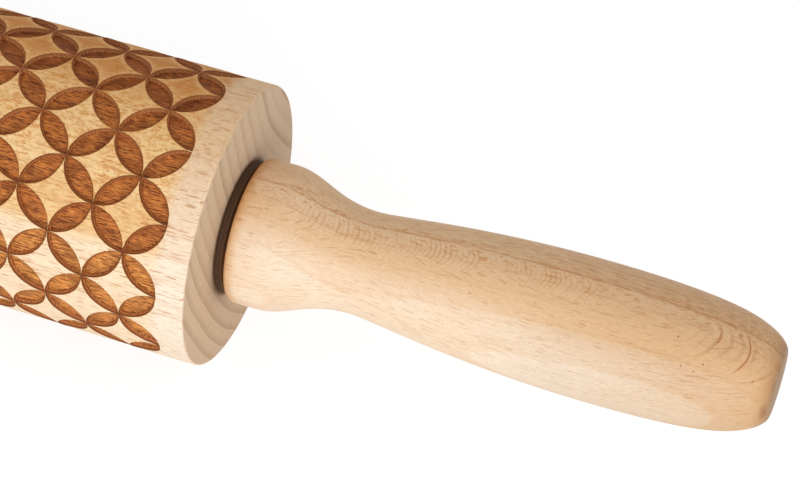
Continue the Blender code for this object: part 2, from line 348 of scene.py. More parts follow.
def handle_profile():
    """The handle's outline, from the blind bore's bottom round to the middle of the end."""
    points = [
        Vector((HANDLE_BORE_END, 0)),
        Vector((HANDLE_BORE_END, HANDLE_BORE)),
        Vector((0, HANDLE_BORE)),
    ]
    for step in range(ROUND_STEPS + 1):
        angle = pi / 2 * step / ROUND_STEPS
        along = COLLAR_ROUND * (1 - cos(angle))
        points.append(Vector((along, COLLAR_RADIUS - COLLAR_ROUND * (1 - sin(angle)))))
    level = Vector((1, 0))
    falling = Vector((1, HEEL_SLOPE))
    inward = Vector((0, -1))
    collar = Vector((COLLAR_LENGTH, COLLAR_RADIUS))
    neck = Vector((HANDLE_LENGTH * NECK_SHARE, NECK_RADIUS))
    belly = Vector((HANDLE_LENGTH * BELLY_SHARE, BELLY_RADIUS))
    heel = Vector((HANDLE_LENGTH * HEEL_SHARE, HEEL_RADIUS))
    end = Vector((HANDLE_LENGTH, END_FLAT_RADIUS))
    points.append(collar)
    points += curve_run(collar, level, neck, level, COLLAR_TO_NECK_SHARES)
    points += curve_run(neck, level, belly, level, NECK_TO_BELLY_SHARES)
    points += curve_run(belly, level, heel, falling, BELLY_TO_HEEL_SHARES)
    points += curve_run(heel, falling, end, inward, HEEL_TO_END_SHARES)
    points.append(Vector((HANDLE_LENGTH, 0)))
    return [(HANDLE_FACE + point.x, point.y) for point in points]


def bush_profile():
    """The bush's closed outline: sleeve, flange with a rounded rim, and bore."""
    flange_back = BUSH_FRONT - BUSH_THICKNESS
    rim = []
    for step in range(ROUND_STEPS + 1):
        angle = pi / 2 * step / ROUND_STEPS
        rim.append((
            BUSH_FRONT - BUSH_ROUND * (1 - cos(angle)),
            BUSH_FLANGE_RADIUS - BUSH_ROUND * (1 - sin(angle)),
        ))
    return [
        (BUSH_FRONT, JOURNAL_HOLE),
        *rim,
        (flange_back, BUSH_FLANGE_RADIUS),
        (flange_back, BUSH_SLEEVE_RADIUS),
        (BUSH_BACK, BUSH_SLEEVE_RADIUS),
        (BUSH_BACK, JOURNAL_HOLE),
        (BUSH_FRONT, JOURNAL_HOLE),
    ]


def washer_profile():
    """The washer's closed outline, its outer edge eased as punched steel is."""
    return [
        (WASHER_BACK, JOURNAL_HOLE),
        (WASHER_FRONT, JOURNAL_HOLE),
        (WASHER_FRONT, WASHER_RADIUS - WASHER_ROUND),
        (WASHER_FRONT - WASHER_ROUND, WASHER_RADIUS),
        (WASHER_BACK + WASHER_ROUND, WASHER_RADIUS),
        (WASHER_BACK, WASHER_RADIUS - WASHER_ROUND),
        (WASHER_BACK, JOURNAL_HOLE),
    ]


# Materials. A value passed to these helpers is either a number or another node's output.
# A name that ends in ZONE holds two values between which a look eases in, and one that
# ends in EASE holds the two values and then the strengths that belong to them. SIZES are
# a noise's sizes in mm, along the pin and across it.


class Shading:
    """One material's node tree, built a node at a time. Places in it are millimetres."""

    def __init__(self, name):
        self.material = bpy.data.materials.new(name)
        self.material.use_nodes = True
        self.tree = self.material.node_tree
        self.shader = self.tree.nodes["Principled BSDF"]

    def feed(self, socket, value):
        """Sets an input, or links it if the value is another node's output."""
        if isinstance(value, bpy.types.NodeSocket):
            self.tree.links.new(value, socket)
        else:
            socket.default_value = value

    def node(self, kind, *inputs, **settings):
        """A node with its settings, and its first inputs fed in order."""
        made = self.tree.nodes.new(kind)
        for name, value in settings.items():
            setattr(made, name, value)
        for socket, value in zip(made.inputs, inputs):
            self.feed(socket, value)
        return made

    def math(self, operation, *inputs, clamp=False):
        """The result of a sum on values."""
        return self.node("ShaderNodeMath", *inputs, operation=operation, use_clamp=clamp).outputs[0]

    def product(self, first, *others):
        """Several values multiplied together."""
        for other in others:
            first = self.math("MULTIPLY", first, other)
        return first

    def step(self, value, low, high, to_low=0.0, to_high=1.0):
        """Eases from to_low to to_high as the value goes from low to high."""
        made = self.node("ShaderNodeMapRange", value, low, high, to_low, to_high)
        made.interpolation_type = "SMOOTHSTEP"
        return made.outputs[0]

    def luck(self, number):
        """A random value from 0 to 1 for every whole number."""
        made = self.node("ShaderNodeTexWhiteNoise", noise_dimensions="1D")
        self.feed(made.inputs["W"], number)
        return made.outputs["Value"]

    def mix(self, share, first, second, blend="MIX"):
        """Blends two colours by a share."""
        made = self.node("ShaderNodeMix", data_type="RGBA", blend_type=blend)
        self.feed(made.inputs[0], share)
        self.feed(made.inputs[6], first)
        self.feed(made.inputs[7], second)
        return made.outputs[2]

    def tone(self, share, first, factors):
        """Multiplies a colour by factors, as far as the share goes."""
        return self.mix(share, first, factors, "MULTIPLY")

    def vector(self, operation, *inputs):
        """The outputs of a sum on vectors: a vector first, and a Value for some of them."""
        return self.node("ShaderNodeVectorMath", *inputs, operation=operation).outputs

    def scale(self, vector, factor):
        """A vector or colour multiplied by one factor."""
        made = self.node("ShaderNodeVectorMath", vector, operation="SCALE")
        self.feed(made.inputs["Scale"], factor)
        return made.outputs[0]

    def stretch(self, place, sizes):
        """A place measured in units of the given sizes, for noise of that grain."""
        return self.vector("MULTIPLY", place, tuple(1 / size for size in sizes))[0]

    def parts(self, vector):
        """A vector's three parts."""
        return self.node("ShaderNodeSeparateXYZ", vector).outputs

    def distance(self, across, up):
        """The length of a step that goes this far across and this far up."""
        squares = self.math("ADD", self.math("POWER", across, 2.0), self.math("POWER", up, 2.0))
        return self.math("SQRT", squares)

    def noise(self, place, sizes, detail=2.0, roughness=0.5, colored=False):
        """Noise from 0 to 1 whose features have about these sizes in mm."""
        made = self.node("ShaderNodeTexNoise")
        self.feed(made.inputs["Vector"], self.stretch(place, sizes))
        made.inputs["Scale"].default_value = 1.0
        made.inputs["Detail"].default_value = detail
        made.inputs["Roughness"].default_value = roughness
        return made.outputs["Color" if colored else "Fac"]

    def place(self):
        """The place on the piece, in mm."""
        return self.scale(self.node("ShaderNodeTexCoord").outputs["Object"], MM_PER_METRE)

    def normal(self):
        """The three parts of the surface's normal, along the piece's own axes."""
        return self.parts(self.node("ShaderNodeTexCoord").outputs["Normal"])

    def bump(self, height, distance, strength=1.0):
        """Bends the shader's normal by a height from 0 to 1, distance high."""
        made = self.node("ShaderNodeBump")
        made.inputs["Strength"].default_value = strength
        made.inputs["Distance"].default_value = distance
        self.feed(made.inputs["Height"], height)
        self.feed(self.shader.inputs["Normal"], made.outputs[0])


# How a screen's values follow the light: a straight start, then a power
SCREEN_START = 0.04045
SCREEN_START_SLOPE = 12.92
SCREEN_OFFSET = 0.055
SCREEN_POWER = 2.4
SCREEN_WHITE = 255


def color(red, green, blue):
    """A colour given as it looks on a screen, from 0 to 255, as the shader wants it."""
    parts = []
    for part in (red, green, blue):
        share = part / SCREEN_WHITE
        if share <= SCREEN_START:
            parts.append(share / SCREEN_START_SLOPE)
        else:
            parts.append(((share + SCREEN_OFFSET) / (1 + SCREEN_OFFSET)) ** SCREEN_POWER)
    return (*parts, 1.0)


# Beech. Its sizes are along the grain, out from the pith, and round it. FACING zones
# compare the surface's normal with the way out from the pith: 1 is along, 0 is across.
WANDER_SIZES = (90, 26, 26)
GRAIN_WANDER = 1.2
NOISE_MIDDLE = (0.5, 0.5, 0.5)
LINE_SHARE = 0.09
LATE_START = 0.35
RING_STRENGTH = 0.22
DARK_RING_STRENGTH = 0.32
BREAK_EASE = (0.35, 0.6, 0.15, 1.2)
PALE_SLOW = 0.66
PALE_STEPS = (0.16, 0.26)
BLOTCH_SIZES = (38, 9, 9)
BLOTCH_EASE = (0.3, 0.7, 0.15, -0.15)
RING_PALING_SPREAD = 0.16
RING_PALING_LEAST = -0.08
STREAK_SIZES = (9, 0.6, 0.6)
STREAK_ZONE = (0.44, 0.72)
BEHIND_REACH = 0.3
BEHIND_SHARES = (0.18, 0.5)
FINE_SIZES = (3.2, 0.26, 0.26)
FINE_ZONE = (0.48, 0.68)
FINE_REACH = 0.4
FINE_SHARE = 0.5
FINE_ALONG_EASE = (130, 180, 0.3, 1.0)
RAY_SIZES = (1.3, 2.4, 0.22)
RAY_ZONE = (0.45, 0.7)
RAY_FACING_ZONE = (0.9, 0.2)
RAY_SHARE_ACROSS = 0.3
FLECK_SIZES = (1.5, 0.5, 0.42)
FLECK_ZONE = (0.58, 0.76)
FLECK_FACING_ZONE = (0.35, 0.1)
FLECK_ENDWAYS_ZONE = (0.7, 0.35)
FLECK_SHARE = 0.62
DASH_SIZES = (3.0, 8, 0.14)
DASH_FACING_ZONE = (0.05, 0.4)
PORE_SIZES = (0.9, 0.17, 0.17)
PORE_SHADE_EASE = (0.3, 0.7, 0.92, 1.05)

# Beech cut across the grain
END_ZONE = (0.7, 0.97)
END_RING_SPREAD = 0.75
END_RING_LEAST = 0.25
END_EARLY_ZONE = (0.16, 0.02)
END_EARLY_SHARE = 0.4
END_RAY_SHARE = 0.3
END_PORE_EASE = (0.35, 0.7, 0.0, 0.3)

SHEEN = 0.25

BEECH_TAN = color(240, 203, 160)
BEECH_PALE = color(250, 232, 210)
BEECH_LATE = color(216, 165, 116)
BEECH_LINE = color(192, 122, 74)
BEECH_RAY = color(208, 152, 96)
BEECH_FLECK = color(208, 144, 82)
BEECH_DASH = color(198, 142, 90)
BEECH_FINE = color(172, 114, 70)
BEECH_END = color(224, 195, 163)
BEECH_END_LATE = color(190, 157, 124)
BEECH_END_EARLY = color(236, 213, 186)

# How a piece lies in the trunk. The pith is a place beside the piece, as (y, z). Rings have
# a width and a shift. For every mm along past spread_from they lie further by a share of
# spread from the distance anchor. The ring dark_ring has the strongest line. Wood pales
# slowly over pale_zone, which moves out by pale_lean for every mm along, and in steps from
# pale_ring on. This paling lies towards the front and lower side, where the light falls, and
# is partly pale outer wood, partly painted light. The shares say how strong rays and dashes are.
Block = namedtuple(
    "Block",
    "pith ring_width ring_shift anchor spread spread_from dark_ring"
    " pale_ring pale_zone pale_lean ray_share dash_zone dash_share",
)


def beech(made, place, block):
    """Solid beech. Returns its colour, its pores from 0 to 1 and the distance from the pith."""
    wander = made.noise(place, WANDER_SIZES, detail=1.0, colored=True)
    shift = made.scale(made.vector("SUBTRACT", wander, NOISE_MIDDLE)[0], 2 * GRAIN_WANDER)
    parts = made.parts(made.vector("ADD", place, shift)[0])
    along = made.math("ABSOLUTE", parts[0])
    out_y = made.math("SUBTRACT", parts[1], block.pith[0])
    out_z = made.math("SUBTRACT", parts[2], block.pith[1])
    outward = made.distance(out_y, out_z)
    paling = outward
    if block.spread:
        paling = made.math("MULTIPLY_ADD", along, -block.pale_lean, outward)
        spread_start = 1 + block.spread * block.spread_from
        spread = made.math("MULTIPLY_ADD", along, -block.spread, spread_start)
        past = made.math("SUBTRACT", outward, block.anchor)
        outward = made.math("MULTIPLY_ADD", past, spread, block.anchor)
    angle = made.math("ARCTAN2", out_z, made.math("MULTIPLY", out_y, -1.0))
    pith_distance = sqrt(block.pith[0] ** 2 + block.pith[1] ** 2)
    sideways = made.math("MULTIPLY", angle, pith_distance)
    wood = made.node("ShaderNodeCombineXYZ", parts[0], outward, sideways).outputs[0]

    ring = made.math("MULTIPLY_ADD", outward, 1 / block.ring_width, block.ring_shift)
    year = made.math("FLOOR", ring)
    growth = made.math("SUBTRACT", ring, year)
    luck = made.luck(year)
    peak = 1 - LINE_SHARE
    after_peak = made.step(growth, 1.0, peak)
    late = made.product(made.step(growth, LATE_START, peak), after_peak)
    line = made.product(made.step(growth, peak - LINE_SHARE, peak), after_peak)
    is_dark = made.math("COMPARE", year, float(block.dark_ring), 0.5)
    ring_strength = made.math("MULTIPLY", luck, RING_STRENGTH)
    strength = made.math("MULTIPLY_ADD", is_dark, DARK_RING_STRENGTH, ring_strength)

    # Paling towards the front and lower side: partly pale outer wood, partly painted light.
    pale = made.step(paling, *block.pale_zone, 0.0, PALE_SLOW)
    for first_year, share in enumerate(PALE_STEPS, block.pale_ring):
        is_pale = made.math("GREATER_THAN", year, first_year - 0.5)
        pale = made.math("MULTIPLY_ADD", is_pale, share, pale)
    blotch = made.noise(wood, BLOTCH_SIZES)
    pale = made.math("ADD", pale, made.step(blotch, *BLOTCH_EASE))
    ring_paling = made.math("MULTIPLY_ADD", luck, RING_PALING_SPREAD, RING_PALING_LEAST)
    pale = made.math("ADD", pale, ring_paling, clamp=True)
    side = made.mix(pale, BEECH_TAN, BEECH_PALE)

    streak = made.noise(wood, STREAK_SIZES, detail=3.0, roughness=0.6)
    broken = made.product(strength, made.step(streak, *BREAK_EASE))
    side = made.mix(made.product(late, broken), side, BEECH_LATE)
    side = made.mix(made.product(line, broken), side, BEECH_LINE)
    behind_end = block.anchor - BEHIND_REACH
    behind = made.step(outward, block.anchor + BEHIND_REACH, behind_end, *BEHIND_SHARES)
    side = made.mix(made.product(made.step(streak, *STREAK_ZONE), behind), side, BEECH_LATE)
    fine = made.step(made.noise(wood, FINE_SIZES), *FINE_ZONE)
    fine_share = made.product(
        made.step(outward, block.anchor + FINE_REACH, behind_end, 0.0, FINE_SHARE),
        made.step(along, *FINE_ALONG_EASE),
    )
    side = made.mix(made.product(fine, fine_share), side, BEECH_FINE)

    normal = made.normal()
    endways = made.math("ABSOLUTE", normal[0])
    facing = made.math("MULTIPLY_ADD", normal[1], out_y, made.math("MULTIPLY", normal[2], out_z))
    facing = made.math("ABSOLUTE", made.math("DIVIDE", facing, outward))
    rays = made.step(made.noise(wood, RAY_SIZES, detail=3.0, roughness=0.65), *RAY_ZONE)
    ray_share_across = block.ray_share * RAY_SHARE_ACROSS
    ray_share = made.step(facing, *RAY_FACING_ZONE, ray_share_across, block.ray_share)
    side = made.mix(made.product(rays, ray_share), side, BEECH_RAY)
    flecks = made.product(
        made.step(made.noise(wood, FLECK_SIZES, detail=0.0), *FLECK_ZONE),
        made.step(facing, *FLECK_FACING_ZONE, 0.0, FLECK_SHARE),
        made.step(endways, *FLECK_ENDWAYS_ZONE),
    )
    side = made.mix(flecks, side, BEECH_FLECK)
    dashes = made.step(made.noise(wood, DASH_SIZES, detail=0.0), *block.dash_zone)
    dash_share = made.step(facing, *DASH_FACING_ZONE, 0.0, block.dash_share)
    side = made.mix(made.product(dashes, dash_share), side, BEECH_DASH)
    pore = made.noise(wood, PORE_SIZES, roughness=0.6)
    side = made.scale(side, made.step(pore, *PORE_SHADE_EASE))

    uneven = made.math("MULTIPLY_ADD", luck, END_RING_SPREAD, END_RING_LEAST)
    end = made.mix(made.product(late, uneven), BEECH_END, BEECH_END_LATE)
    early_share = made.math("MULTIPLY", uneven, END_EARLY_SHARE)
    early = made.product(made.step(growth, *END_EARLY_ZONE), early_share)
    end = made.mix(early, end, BEECH_END_EARLY)
    end = made.mix(made.math("MULTIPLY", rays, END_RAY_SHARE), end, BEECH_PALE)
    end = made.mix(made.step(pore, *END_PORE_EASE), end, BEECH_END_LATE)
    return made.mix(made.step(endways, *END_ZONE), side, end), pore, outward


# Handles. Along is the distance from the pin's middle, and outward that from the pith.
HANDLE_BLOCK = Block(
    pith=(96.0, 4.0),
    ring_width=3.8,
    ring_shift=0.026,
    anchor=94.9,
    spread=-0.002,
    spread_from=HANDLE_FACE * MM_PER_METRE,
    dark_ring=24,
    pale_ring=28,
    pale_zone=(94.0, 100.9),
    pale_lean=0.05,
    ray_share=0.2,
    dash_zone=(0.69, 0.74),
    dash_share=0.45,
)
HANDLE_TONE = (0.97, 0.95, 0.93, 1.0)
# Darker and tanner towards the handle's end: partly the wood's tone, partly painted shade where the
# light falls off
GRIP_TONE_AND_SHADE = (0.89, 0.83, 0.76, 1.0)
GRIP_LENGTH_ZONE = (0.35, 1.0)
FRONT_TONE = (0.925, 0.93, 0.94, 1.0)
FRONT_LENGTH_ZONE = (0.45, 0.65)
FRONT_ZONE = (104, 108)
TOAST = (0.78, 0.6, 0.4, 1.0)
TOAST_WIDTH = 3.0
# Painted shade on the end cap, by how far its faces turn along the pin
CAP_PAINTED_SHADE = (0.7, 0.62, 0.54, 1.0)
CAP_ZONE = (0.4, 0.85)
CAP_MARGIN = 1
HANDLE_ROUGHNESS = 0.55
HANDLE_RELIEF = 0.02 * MM
HANDLE_RELIEF_STRENGTH = 0.5

# Nested arcs in a strip of the wood from near to far, with their apexes at middle. They
# lie spacing apart along the pin, bend back by bend from middle, and fade in and out along.
Strip = namedtuple("Strip", "near middle far bend spacing fade_in fade_out tone share")
ARC_STRIPS = (
    Strip(94.9, 97.5, 102.7, 0.16, 1.0, (114, 126), (196, 176), color(204, 142, 80), 0.6),
    Strip(95.1, 99.3, 107.5, 0.128, 2.0, (192, 207), (213.2, 211.2), color(182, 106, 56), 0.8),
)
ARC_SIZES = (12, 6, 6)
ARC_WANDER = 3.0
ARC_LINE_ZONE = (0.1, 1.0)
ARC_LUCK_EASE = (0.2, 0.9, 0.4, 1.0)
ARC_START = 0.6
ARC_BREAK_SIZES = (0.3, 2.4, 1.0)
ARC_BREAK_EASE = (0.3, 0.6, 0.4, 1.0)
ARC_PATCH_ZONE = (0.38, 0.55)
ARC_PATCH_SHARE = 0.3

# One dark curl near the end
SCAR_APEX = 208.3
SCAR_MIDDLE = 99.7
SCAR_BEND = 0.077
SCAR_EDGE_ZONE = (0.26, 0.065)
SCAR_END_ZONES = ((94.9, 96.5), (105.7, 102.5))
SCAR_COLOR = color(170, 92, 46)
SCAR_SHARE = 0.75

# Soft spots, each as (place, sizes, share)
SPOT_EDGE_ZONE = (1.0, 0.4)
DOT_SIZES = (0.24, 0.24, 0.24)
DOT_SHARE = 0.85
DOT_COLOR = color(146, 94, 54)
DOTS = (
    ((195.5, -4.4, 11.8), DOT_SIZES, DOT_SHARE),
    ((202.4, -2.9, 11.5), DOT_SIZES, DOT_SHARE),
    ((197.4, -8.4, 9.1), DOT_SIZES, DOT_SHARE),
    ((199.8, -8.5, 8.7), DOT_SIZES, DOT_SHARE),
    ((201.1, -7.2, 9.7), DOT_SIZES, DOT_SHARE),
    ((210.1, -6.2, 7.5), DOT_SIZES, DOT_SHARE),
)
END_MARK_COLOR = color(156, 98, 64)
END_MARKS = (
    ((213.1, -7.7, 1.3), (0.9, 1.5, 2.8), 0.4),
    ((213.2, -7.4, 0.7), (0.6, 0.6, 1.5), 0.4),
)


def handle_places(shares):
    """Distances from the pin's middle at which these shares of the handle's length lie."""
    face = HANDLE_FACE * MM_PER_METRE
    return [face + share * HANDLE_LENGTH * MM_PER_METRE for share in shares]


def curl(made, along, outward, middle, bend):
    """The distance along, drawn back towards the roller on both sides of the middle."""
    across = made.math("SUBTRACT", outward, middle)
    return made.math("MULTIPLY_ADD", made.math("MULTIPLY", across, across), bend, along)


def arcs(made, place, along, outward, strip):
    """Thin nested arcs, open towards the roller, in a strip of the wood. From 0 to 1."""
    drift = made.noise(place, ARC_SIZES, detail=1.0)
    bent = curl(made, along, outward, strip.middle, strip.bend)
    bent = made.math("MULTIPLY_ADD", drift, ARC_WANDER, bent)
    turns = made.math("DIVIDE", bent, strip.spacing)
    wave = made.math("SINE", made.math("MULTIPLY", turns, 2 * pi))
    return made.product(
        made.step(wave, *ARC_LINE_ZONE),
        made.step(made.luck(made.math("FLOOR", turns)), *ARC_LUCK_EASE),
        made.step(outward, strip.near, strip.near + ARC_START),
        made.step(outward, strip.far, strip.middle),
        made.step(along, *strip.fade_in),
        made.step(along, *strip.fade_out),
        made.step(made.noise(place, ARC_BREAK_SIZES, detail=1.0), *ARC_BREAK_EASE),
        made.step(drift, *ARC_PATCH_ZONE, ARC_PATCH_SHARE * strip.share, strip.share),
    )


def scar(made, along, outward):
    """One dark growth line that curls round near the handle's end. From 0 to 1."""
    bent = curl(made, along, outward, SCAR_MIDDLE, SCAR_BEND)
    away = made.math("ABSOLUTE", made.math("SUBTRACT", bent, SCAR_APEX))
    ends = [made.step(outward, *zone) for zone in SCAR_END_ZONES]
    return made.product(made.step(away, *SCAR_EDGE_ZONE), *ends)


def add_spots(made, place, wood, spots, tone):
    """The wood's colour with soft spots on it that reach as far as their sizes."""
    for center, sizes, share in spots:
        away = made.vector("SUBTRACT", place, center)[0]
        away = made.vector("LENGTH", made.stretch(away, sizes))["Value"]
        wood = made.mix(made.step(away, *SPOT_EDGE_ZONE, 0.0, share), wood, tone)
    return wood


def turned_beech():
    """Fine-sanded beech of the handles, toasted a little at the collar's inner edge, with painted
    shade on the end cap.
    """
    made = Shading("turned_beech")
    place = made.place()
    wood, pores, outward = beech(made, place, HANDLE_BLOCK)
    along = made.math("ABSOLUTE", made.parts(place)[0])
    for strip in ARC_STRIPS:
        wood = made.mix(arcs(made, place, along, outward, strip), wood, strip.tone)
    wood = made.tone(1.0, wood, HANDLE_TONE)
    # Towards the end: partly wood tone, partly painted shade.
    wood = made.tone(made.step(along, *handle_places(GRIP_LENGTH_ZONE)), wood, GRIP_TONE_AND_SHADE)
    front = made.product(
        made.step(along, *handle_places(FRONT_LENGTH_ZONE)),
        made.step(outward, *FRONT_ZONE),
    )
    wood = made.tone(front, wood, FRONT_TONE)
    face = HANDLE_FACE * MM_PER_METRE
    wood = made.tone(made.step(along, face + TOAST_WIDTH, face), wood, TOAST)
    # Painted shade on the end cap and its rounding, which face along the pin.
    cap_shade = made.product(
        made.step(made.math("ABSOLUTE", made.normal()[0]), *CAP_ZONE),
        made.math("GREATER_THAN", along, face + CAP_MARGIN),
    )
    wood = made.tone(cap_shade, wood, CAP_PAINTED_SHADE)
    scar_share = made.math("MULTIPLY", scar(made, along, outward), SCAR_SHARE)
    wood = made.mix(scar_share, wood, SCAR_COLOR)
    wood = add_spots(made, place, wood, DOTS, DOT_COLOR)
    wood = add_spots(made, place, wood, END_MARKS, END_MARK_COLOR)
    made.feed(made.shader.inputs["Base Color"], wood)
    made.shader.inputs["Roughness"].default_value = HANDLE_ROUGHNESS
    made.shader.inputs["Specular IOR Level"].default_value = SHEEN
    made.bump(pores, HANDLE_RELIEF, HANDLE_RELIEF_STRENGTH)
    return made.material


# Roller
ROLLER_BLOCK = Block(
    pith=(80.0, 31.0),
    ring_width=3.37,
    ring_shift=0.3,
    anchor=0.0,
    spread=0.0,
    spread_from=0.0,
    dark_ring=0,
    pale_ring=30,
    pale_zone=(82.0, 98.0),
    pale_lean=0.0,
    ray_share=0.38,
    dash_zone=(0.66, 0.7),
    dash_share=0.7,
)
ROLLER_ROUGHNESS = 0.65
ROLLER_RELIEF = 0.12 * MM
ROLLER_RELIEF_STRENGTH = 0.7
LAND_RELIEF_SHARE = 0.25

# Painted shade on the end face round the bush, where the collar shades it, in mm
SEAT_SHADE_WIDTH = 1.1
SEAT_MARGIN = 0.1
SEAT_SHADE_TONE = (0.42, 0.33, 0.26, 1.0)

# The lines of the laser, and how they fray the petals' edges
LASER_LINE = 0.31
LASER_SHARE = 0.13
LASER_DRIFT = 3.0
DRIFT_SIZES = (6, 2.5, 2.5)
NIB_SIZES = (0.22, 0.22, 0.22)
NIB_EDGE_EASE = (0.2, 0.8, -0.04, 0.04)

# Smoke on the wood between the petals, with painted shade and light graded over it: painted
# shade darkest along the top, towards SHADE_UP_WAY, a shaded middle band, and painted light
# at the front, outwards from the pith. SMOKE_FADE is where it ends, in mm past the last circles.
SHADE_UP_WAY = (0, 0.5, 0.866)
TOP_PAINTED_SHADE = (0.77, 0.46, 0.19, 1.0)
TOP_SHADE_ZONE = (23, 28)
TOP_SHADE_CENTER_EASE = (0.2, 1.5, 0.45, 1.0)
SMOKE_MIDDLE = (1.06, 0.99, 0.74, 1.0)
SMOKE_MID_SHADE = (0.95, 0.78, 0.49, 1.0)
SMOKE_MID_SHADE_ZONE = (93, 99)
FRONT_PAINTED_LIGHT = (1.0, 0.95, 0.83, 1.0)
FRONT_LIGHT_ZONE = (102, 105)
SMOKE_FADE = (-2.6, 1.0)
SMOKE_WANDER = 3.0
MOTTLE = color(212, 140, 62)
MOTTLE_SIZES = (2.2, 0.8, 0.8)
MOTTLE_ZONE = (0.49, 0.6)
MOTTLE_OUTWARD_EASE = (106, 94, 0.05, 0.72)
SPECK = color(188, 110, 46)
SPECK_SIZES = (0.7, 0.18, 0.18)
SPECK_ZONE = (0.55, 0.68)
SPECK_SPARE_SHARE = 0.12
HALO_TONE = (0.97, 0.88, 0.7, 1.0)
HALO_ZONE = (0.32, 0.06)

# Burnt wood of the petals. Zones of the petal's edge are in mm, below zero inside it.
CHAR_LIGHT = color(206, 132, 69)
CHAR_DARK = color(98, 45, 17)
CHAR_GOLD = color(222, 160, 96)
CHAR_EDGE = color(116, 58, 27)
CHAR_WALL = color(200, 130, 74)
CHAR_TICK = color(140, 78, 38)
# Painted shade along the petals' top and painted light at their front, by the distance from the
# pith
CHAR_TOP_PAINTED_SHADE = (0.77, 0.57, 0.36, 1.0)
CHAR_MIDDLE = (1.06, 0.9, 0.67, 1.0)
CHAR_MIDDLE_ZONE = (76, 83)
CHAR_FRONT_PAINTED_LIGHT = (1.33, 1.38, 1.2, 1.0)
CHAR_FRONT_LIGHT_ZONE = (101, 106)
CHAR_SIZES = (2.4, 0.2, 0.2)
CHAR_ZONE = (0.32, 0.62)
SPARK_SIZES = (1.1, 0.16, 0.16)
SPARK_GOLD_EASE = (0.54, 0.68, 0.0, 0.6)
SPARK_DARK_EASE = (0.45, 0.28, 0.0, 0.5)
SOOT_SIZES = (4, 2.0, 2.0)
SOOT_EASE = (0.42, 0.7, 0.0, 0.5)
TICK_ZONE = (0.3, 0.7)
WALL_ZONE = (-0.27, -0.22)
# Painted light on the petals' walls towards the front
WALL_PAINTED_LIGHT = (1.15, 1.12, 1.0, 1.0)
WALL_PAINTED_LIGHT_ZONE = (92, 104)
FOOT_INNER_ZONE = (-0.42, -0.3)
FOOT_OUTER_ZONE = (-0.18, -0.26)
FOOT_SIZES = (0.6, 0.6, 0.6)
FOOT_EASE = (0.66, 0.4, 0.2, 0.85)
OUTLINE_ZONE = (-0.15, -0.05)
OUTLINE_OUTWARD_EASE = (82, 96, 0.45, 0.9)
INSIDE_ZONE = (0.13, 0.04)


def seat_painted_shade(made, place):
    """Where painted shade darkens the end face round the bush, under the collar. From 0 to 1."""
    parts = made.parts(place)
    flange = BUSH_FLANGE_RADIUS * MM_PER_METRE
    face = ROLLER_END * MM_PER_METRE - SEAT_MARGIN
    return made.product(
        made.step(made.distance(parts[1], parts[2]), flange + SEAT_SHADE_WIDTH, flange),
        made.math("GREATER_THAN", made.math("ABSOLUTE", parts[0]), face),
    )


def smoked_and_shaded(made, place, wood, outward, edge, ragged):
    """The wood between the petals with its smoke, painted shade and light, mottles, specks and
    halos.
    """
    mottle = made.noise(place, MOTTLE_SIZES, detail=5.0, roughness=0.8)
    lattice_end = (ROLLER_END - BARE_BAND) * MM_PER_METRE
    along = made.math("SUBTRACT", made.math("ABSOLUTE", made.parts(place)[0]), lattice_end)
    along = made.math("MULTIPLY_ADD", mottle, SMOKE_WANDER, along)
    low, high = (limit + SMOKE_WANDER / 2 for limit in SMOKE_FADE)
    smoke = made.step(along, high, low)
    # Painted shade along the top, a shaded middle band and painted light at the front.
    upward = made.vector("DOT_PRODUCT", place, SHADE_UP_WAY)["Value"]
    top = made.product(
        made.step(upward, *TOP_SHADE_ZONE),
        made.step(edge, *TOP_SHADE_CENTER_EASE),
    )
    smoke_and_shade = made.mix(top, SMOKE_MIDDLE, TOP_PAINTED_SHADE)
    smoke_and_shade = made.mix(made.step(outward, *SMOKE_MID_SHADE_ZONE), smoke_and_shade, SMOKE_MID_SHADE)
    smoke_and_shade = made.mix(made.step(outward, *FRONT_LIGHT_ZONE), smoke_and_shade, FRONT_PAINTED_LIGHT)
    wood = made.tone(smoke, wood, smoke_and_shade)
    spots = made.product(
        made.step(mottle, *MOTTLE_ZONE),
        made.step(outward, *MOTTLE_OUTWARD_EASE),
    )
    wood = made.mix(made.product(spots, smoke), wood, MOTTLE)
    specks = made.product(
        made.step(made.noise(place, SPECK_SIZES, detail=1.0), *SPECK_ZONE),
        made.math("ADD", spots, SPECK_SPARE_SHARE),
        smoke,
    )
    wood = made.mix(specks, wood, SPECK)
    return made.tone(made.step(ragged, *HALO_ZONE), wood, HALO_TONE)


